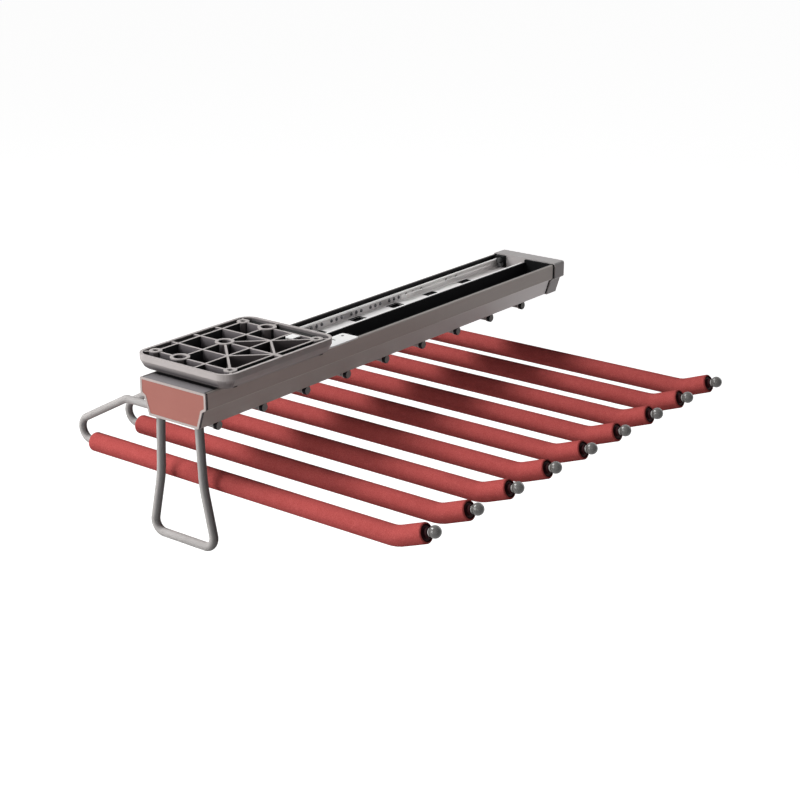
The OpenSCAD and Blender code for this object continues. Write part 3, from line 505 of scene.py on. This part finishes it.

# painted shadow: the front cap's top darkens under the plate and is black in the gap beneath it; its rim
# round the panel is light, a painted highlight
frontCapLightAndShade = [
    {"low": (-wide, -67, -20), "high": (wide, 0, 0), "fade": (0.3, 10, 0.3), "tone": tone(96, 93, 96)},
    {"low": (-wide, -58.6, -20), "high": (wide, 0, 0), "fade": (0.3, 0.6, 0.3), "tone": paintedShadowBlack},
    {"low": (-wide, -70.5, -wide), "high": (wide, -69.7, wide), "fade": (0.1, 0.1, 0.1),
     "tone": tone(178, 168, 165)}]

# rail and cage: the edges of the windows are black as painted shade, the web's top is painted bright, and
# the curled edge too as a painted highlight
webCuts = [{"low": (-22.8, -wide, -25.2), "high": (-2.5, wide, -22.2), "facing": way, "lean": 0.5,
            "tone": paintedShadowBlack} for way in (toRight, toFront)]
webTop = {"fade": (0.3, 1, 0.3), "facing": toTop, "lean": 0.8}
# painted shade: from here to the back the web lies in shadow
webShadedFrom = 330   # from here to the back the web is duller
railLightAndShade = [
    {**webTop, "low": (-wide, -wide, -60), "high": (wide, webShadedFrom, -10), "tone": tone(253, 252, 251)},
    {**webTop, "low": (-wide, webShadedFrom, -60), "high": (wide, wide, -10), "tone": tone(222, 218, 217)},
    {"low": (-wide, -wide, -17.2), "high": (wide, wide, -10), "tone": tone(243, 242, 241)}] + webCuts
# painted shade: the cage's side facing +X is darker, and its window edges are black
cageShadeZones = [{"low": (-wide, -wide, -60), "high": (wide, wide, -10), "facing": toRight, "lean": 0.5,
              "tone": tone(186, 182, 182)}] + webCuts
# painted shadow: the bracket's front edge is black in the gap under the plate
bracketShadowZones = [{"low": (-wide, -wide, -60), "high": (wide, -50, 0), "facing": toFront, "lean": 0.7,
                 "tone": paintedShadowBlack}]

# the rear cap: painted light makes the lower body and the right side paler, and painted shade makes the lug
# black as far as it is in the channel
channelEnd = 386.5   # just past the channel, which the seal meets
rearCapLightAndShade = [
    {"low": (-wide, 300, -60), "high": (wide, wide, -27), "tone": tone(206, 202, 202)},
    {"low": (-wide, 300, -60), "high": (wide, wide, -10), "facing": toRight, "lean": 0.6,
     "tone": tone(184, 179, 179)},
    {"low": (1.5, 300, -60), "high": (32, channelEnd, -14.6), "tone": paintedShadowBlack}]

# painted shade makes rods darker to the open side; tip balls are dark at their necks, and stub caps are
# black rings between a pale neck and a pale end
rodShadeZones = [{"low": (-wide, -wide, -wide), "high": (wide, wide, wide), "facing": toRight, "lean": 0.1,
             "soft": 0.5, "tone": tone(124, 122, 122)}]
tipZones = [{"low": (150, -wide, -wide), "high": (216.6, wide, 0), "tone": tone(28, 9, 12)}]
stubZones = [
    {"low": (-wide, -wide, -60), "high": (19.4, wide, 0), "tone": tone(190, 187, 186)},
    {"low": (21.9, -wide, -60), "high": (30, wide, 0), "fade": (0.1, 0.1, 0.1), "facing": toRight,
     "lean": 0.8, "tone": tone(165, 167, 166)}]

# lines of drawing and rolling: the smaller a factor, the longer they run that way
alongChannel = (1.0, 0.01, 1.0)
everyWay = (1.0, 1.0, 1.0)
coarse = (0.3, 0.3, 0.3)
finishes = {
    "channel": paintedChannel(),
    "plate": mouldedPlastic("plateGrey", tone(173, 167, 166), tone(180, 174, 173), roughness=0.55,
                            grain=2200.0, relief=0.3, veil=0.25, light=tone(206, 202, 200), gloss=0.25,
                            zones=plateShadeZones),
    "bracket": metal("bracketZinc", tone(254, 254, 254), tone(249, 249, 249), roughness=0.5,
                     stretch=alongChannel, metallic=0.05, scuffs=0.2, zones=bracketShadowZones),
    "rail": metal("railZinc", tone(222, 219, 218), tone(212, 209, 208), roughness=0.4,
                  stretch=alongChannel, metallic=0.35, zones=railLightAndShade),
    "cage": metal("cageZinc", tone(240, 238, 238), tone(230, 228, 228), roughness=0.4,
                  stretch=alongChannel, metallic=0.4, zones=cageShadeZones),
    # painted shade: the slide's balls are toned dark, as they sit in shade inside the cage
    "balls": metal("ballSteel", tone(90, 90, 92), tone(76, 76, 78), roughness=0.2, stretch=everyWay,
                   relief=0.02, metallic=0.6),
    "rivets": metal("rivetSteel", tone(150, 148, 147), tone(136, 134, 133), roughness=0.42,
                    stretch=everyWay, grain=1500.0, metallic=0.5),
    "rods": metal("rodNickel", tone(172, 169, 168), tone(163, 160, 159), roughness=0.55, stretch=coarse,
                  grain=1500.0, metallic=0.0, gloss=0.06, relief=0.08, zones=rodShadeZones),
    # painted shade: this near black stands in for the deep shadow beside the slide in the channel and in the
    # bracket's slot
    "carrier": mouldedPlastic("carrierBlack", tone(12, 11, 14), tone(17, 16, 19), roughness=0.6,
                              grain=1800.0, veil=0.05, light=tone(60, 58, 60), gloss=0.12),
    "frontCap": mouldedPlastic("capGrey", tone(126, 123, 126), tone(132, 129, 132), roughness=0.5,
                               grain=2400.0, relief=0.2, light=tone(150, 147, 148), gloss=0.3,
                               zones=frontCapLightAndShade),
    "rearCap": mouldedPlastic("rearCapGrey", tone(158, 154, 154), tone(164, 160, 160), roughness=0.48,
                              grain=2400.0, relief=0.2, light=tone(190, 187, 186), gloss=0.4,
                              zones=rearCapLightAndShade),
    "panel": rosePanel(),
    "seal": mouldedPlastic("sealBlack", tone(11, 11, 12), tone(16, 16, 17), roughness=0.7, grain=1500.0,
                           veil=0.05, light=tone(50, 50, 50), gloss=0.1),
    "buffer": mouldedPlastic("bufferGrey", tone(62, 62, 63), tone(70, 70, 71), roughness=0.6,
                             grain=1500.0, light=tone(110, 110, 110), gloss=0.3),
    "bush": mouldedPlastic("bushDark", tone(34, 8, 12), tone(42, 11, 15), roughness=0.6, grain=1800.0,
                           veil=0.0, light=tone(70, 40, 42), gloss=0.1),
    "tip": mouldedPlastic("tipGrey", tone(94, 92, 90), tone(86, 84, 82), roughness=0.25, grain=1200.0,
                          relief=0.1, veil=0.1, light=tone(170, 168, 165), gloss=0.6, zones=tipZones),
    "stub": mouldedPlastic("stubBlack", tone(11, 11, 14), tone(15, 15, 18), roughness=0.6, grain=1500.0,
                           veil=0.0, light=tone(50, 50, 50), gloss=0.1, zones=stubZones),
    "flock": flockedSleeve(),
}
nodeFinish = {
    "mounting_plate": "plate", "slide_bracket": "bracket", "slide_inner_rail": "rail",
    "plate_rivets": "rivets", "guide_shoe": "carrier", "ball_cage": "cage", "cage_balls": "balls",
    "channel_housing": "channel", "slide_carrier": "carrier", "slide_outer_rail": "rail",
    "carrier_rivets": "rivets", "front_cap": "frontCap", "front_panel": "panel", "front_seal": "seal",
    "rear_cap": "rearCap", "rear_seal": "seal", "rear_stop": "seal", "stop_buffers": "buffer",
    "pull_handle": "rods", "arm_bar": "rods", "bar_rivets": "rivets", "stub_caps": "stub",
    "tip_bushes": "bush"}
nodeRows = {"arm_rod": "rods", "arm_sleeve": "flock", "tip_ball": "tip"}   # numbered by arm


def finishOf(node):
    return finishes[nodeRows.get(node.rstrip("0123456789").rstrip("_")) or nodeFinish[node]]


for nodeName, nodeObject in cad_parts.items():
    for materialSlot in nodeObject.material_slots:
        materialSlot.material = finishOf(nodeName)
print("finishes are on the CAD nodes")


# What repeats along the arms comes from one tree.
def newTree(name, ins):
    tree = bpy.data.node_groups.new(name, "GeometryNodeTree")
    tree.is_modifier = True
    tree.interface.new_socket("Geometry", in_out="INPUT", socket_type="NodeSocketGeometry")
    for label, kind in ins.items():
        tree.interface.new_socket(label, in_out="INPUT", socket_type=kind)
    tree.interface.new_socket("Geometry", in_out="OUTPUT", socket_type="NodeSocketGeometry")
    return tree, tree.nodes.new("NodeGroupInput"), tree.nodes.new("NodeGroupOutput")


def armRowTree():
    # repeats one piece at every arm, and makes each a little uneven
    tree, start, end = newTree("armRow", {
        "Count": "NodeSocketInt", "Pitch": "NodeSocketFloat", "Unevenness": "NodeSocketFloat",
        "Unevenness Scale": "NodeSocketFloat", "Finish": "NodeSocketMaterial"})
    given = start.outputs
    step = addNode(tree, "ShaderNodeCombineXYZ", {"Y": given["Pitch"]})
    row = addNode(tree, "GeometryNodeMeshLine", {"Count": given["Count"], "Offset": step.outputs["Vector"]})
    copies = addNode(tree, "GeometryNodeInstanceOnPoints",
                     {"Points": row.outputs["Mesh"], "Instance": given["Geometry"]})
    real = addNode(tree, "GeometryNodeRealizeInstances", {"Geometry": copies.outputs["Instances"]})
    noiseMiddle = 0.5   # so that it pushes in as much as out
    noise = addNode(tree, "ShaderNodeTexNoise", {"Scale": given["Unevenness Scale"], "Detail": 2.0})
    swing = addMath(tree, "SUBTRACT", noise.outputs["Fac"], noiseMiddle)
    depth = addMath(tree, "MULTIPLY", swing, given["Unevenness"])
    normal = addNode(tree, "GeometryNodeInputNormal")
    push = addNode(tree, "ShaderNodeVectorMath", {0: normal.outputs["Normal"], "Scale": depth},
                   operation="SCALE")
    shift = addNode(tree, "GeometryNodeSetPosition",
                    {"Geometry": real.outputs["Geometry"], "Offset": push.outputs["Vector"]})
    finish = addNode(tree, "GeometryNodeSetMaterial",
                     {"Geometry": shift.outputs["Geometry"], "Material": given["Finish"]})
    feed(tree, finish.outputs["Geometry"], end.inputs["Geometry"])
    return tree


def bakeTree(name, mesh, tree, values):
    # runs a tree on a mesh and keeps the result as a plain mesh object at the origin
    source = bpy.data.objects.new(name + "Source", mesh)
    bpy.context.scene.collection.objects.link(source)
    modifier = source.modifiers.new("nodes", "NODES")
    modifier.node_group = tree
    for item in tree.interface.items_tree:
        if item.in_out == "INPUT" and item.name in values:
            modifier[item.identifier] = values[item.name]
    bpy.context.view_layer.update()
    graph = bpy.context.evaluated_depsgraph_get()
    baked = bpy.data.meshes.new_from_object(source.evaluated_get(graph), depsgraph=graph)
    source.modifiers.clear()
    bpy.data.objects.remove(source)
    baked.name = name
    piece = bpy.data.objects.new(name, baked)
    bpy.context.scene.collection.objects.link(piece)
    return piece


def sweep(points, rings, sides):
    # a closed tube along points in the XZ plane: each ring is (distance, radius, cut)
    reach = 0.6 * mm   # how far to both sides the path's direction is read
    lengths = [0.0]
    for a, b in zip(points, points[1:]):
        lengths.append(lengths[-1] + (b - a).length)

    def at(distance):
        for i in range(len(points) - 1):
            if distance <= lengths[i + 1] or i == len(points) - 2:
                way = (points[i + 1] - points[i]).normalized()
                return points[i] + way * (distance - lengths[i]), way

    shape = bmesh.new()
    cutEnd = shape.verts.layers.float.new("cutEnd")
    loops = []
    for distance, radius, cut in rings:
        centre = at(distance)[0]
        before = at(max(distance - reach, 0.0))[1]
        after = at(min(distance + reach, lengths[-1]))[1]
        way = (before + after).normalized()
        out = Vector((-way.z, 0, way.x))
        loop = []
        for k in range(sides):
            turn = 2 * math.pi * k / sides
            outwards = out * radius * math.cos(turn)
            sideways = Vector((0, radius * math.sin(turn), 0))
            corner = shape.verts.new(centre + outwards + sideways)
            corner[cutEnd] = cut
            loop.append(corner)
        loops.append(loop)
    for lower, upper in zip(loops, loops[1:] + loops[:1]):
        for k in range(sides):
            shape.faces.new((lower[k], lower[(k + 1) % sides], upper[(k + 1) % sides], upper[k]))
    bmesh.ops.recalc_face_normals(shape, faces=shape.faces)
    return shape


def asMesh(shape, name, smooth=True):
    mesh = bpy.data.meshes.new(name)
    shape.to_mesh(mesh)
    shape.free()
    for face in mesh.polygons:
        face.use_smooth = smooth
    return mesh


arm = {"count": 9, "pitch": 50 * mm, "low": -48.55 * mm, "start": -114.6 * mm,
       "cornerX": 188.33 * mm, "tipAngle": 20.3, "tipRadius": 30 * mm, "tipSteps": 12, "rise": 25 * mm}


def armPath(startX, rise):
    # the low run and the raised tip, with the bend between them in short steps
    angle = math.radians(arm["tipAngle"])
    corner = Vector((arm["cornerX"], 0, arm["low"])) + slideOffset
    back = arm["tipRadius"] * math.tan(angle / 2)
    centre = corner + Vector((-back, 0, arm["tipRadius"]))
    points = [Vector((startX, 0, arm["low"])) + slideOffset]
    for k in range(arm["tipSteps"] + 1):
        turn = angle * k / arm["tipSteps"]
        points.append(centre + arm["tipRadius"] * Vector((math.sin(turn), 0, -math.cos(turn))))
    points.append(corner + rise * Vector((math.cos(angle), 0, math.sin(angle))))
    return points


sleeve = {"radius": 7.65 * mm, "sides": 40, "ringStep": 3.5 * mm,
          "bore": 3.1 * mm, "boreFlare": 0.3 * mm, "boreStep": 2 * mm, "mouth": 3 * mm,
          "endRound": 1.9 * mm, "roundAngles": (0, 18, 36, 54, 72, 90), "edge": 0.2 * mm,
          "tipBevel": 0.8 * mm, "bevelEase": 0.05 * mm, "lip": 2.0 * mm, "lipBore": 5.7 * mm,
          "unevenness": 0.14 * mm, "unevennessScale": 90.0}


def sleeveRings(length):
    # from inside the low end over the outside to the tip, and back through the bore to the first ring
    radius, bore, soft, edge = sleeve["radius"], sleeve["bore"], sleeve["endRound"], sleeve["edge"]
    rings = [(sleeve["mouth"], bore, 1.0), (edge, bore, 1.0),
             (0.0, bore + sleeve["boreFlare"], 1.0), (0.0, radius - soft - edge, 1.0)]
    for degrees in sleeve["roundAngles"]:
        angle = math.radians(degrees)
        rings.append((soft * (1 - math.cos(angle)), radius - soft * (1 - math.sin(angle)), 0.0))
    plain = length - 2 * soft
    steps = int(plain / sleeve["ringStep"])
    rings += [(soft + plain * k / steps, radius, 0.0) for k in range(1, steps)]
    # the tip end has a small chamfer and a lip round the flange of the dark bush
    bevel, lip, lipBore = sleeve["tipBevel"], sleeve["lip"], sleeve["lipBore"]
    rings += [(length - bevel - edge, radius, 0.0), (length - bevel, radius - sleeve["bevelEase"], 0.0),
              (length, radius - bevel, 0.0), (length, lipBore, 1.0),
              (length - lip, lipBore, 1.0), (length - lip, bore, 1.0)]
    # the bore follows the bend too, back to where the arm runs straight
    arc = arm["tipRadius"] * math.radians(arm["tipAngle"])
    bend = length - arm["rise"] - lip - arc - 2 * sleeve["ringStep"]
    inside = length - sleeve["mouth"] - bend
    inner = int(inside / sleeve["boreStep"])
    rings += [(length - sleeve["mouth"] - inside * k / inner, bore, 1.0) for k in range(inner + 1)]
    return rings


def makeSleeves():
    path = armPath(arm["start"], arm["rise"] + sleeve["lip"])
    length = sum((b - a).length for a, b in zip(path, path[1:]))
    mesh = asMesh(sweep(path, sleeveRings(length), sleeve["sides"]), "sleeveForm")
    piece = bakeTree("flockedSleeves", mesh, armRow, {
        "Count": arm["count"], "Pitch": arm["pitch"], "Unevenness": sleeve["unevenness"],
        "Unevenness Scale": sleeve["unevennessScale"], "Finish": finishes["flock"]})
    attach(piece, "rack")
    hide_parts(*["arm_sleeve_%d" % (k + 1) for k in range(arm["count"])])


armRow = armRowTree()
makeSleeves()
print("sleeves are made")

ground = {"size": 9.0, "height": -0.62, "matt": (0.4, 0.4, 0.4, 1), "glow": 0.95}


def makeFloor():
    # it keeps the rack's shadow, and glows only for rays that show it
    shape = bmesh.new()
    bmesh.ops.create_grid(shape, x_segments=1, y_segments=1, size=ground["size"])
    floor = bpy.data.objects.new("studioFloor", asMesh(shape, "studioFloor", False))
    floor.location.z = ground["height"]
    bpy.context.scene.collection.objects.link(floor)
    material = bpy.data.materials.new("floorWhite")
    material.use_nodes = True
    tree = material.node_tree
    tree.nodes.clear()
    matt = addNode(tree, "ShaderNodeBsdfDiffuse", {"Color": ground["matt"]}).outputs["BSDF"]
    glow = addNode(tree, "ShaderNodeEmission", {"Color": plainWhite, "Strength": ground["glow"]})
    total = addNode(tree, "ShaderNodeAddShader", {0: matt, 1: glow.outputs["Emission"]})
    plain = addNode(tree, "ShaderNodeMixShader",
                    {"Fac": whiteRays(tree), 1: matt, 2: total.outputs["Shader"]})
    addNode(tree, "ShaderNodeOutputMaterial", {"Surface": plain.outputs["Shader"]})
    floor.data.materials.append(material)


makeFloor()
print("floor is down")
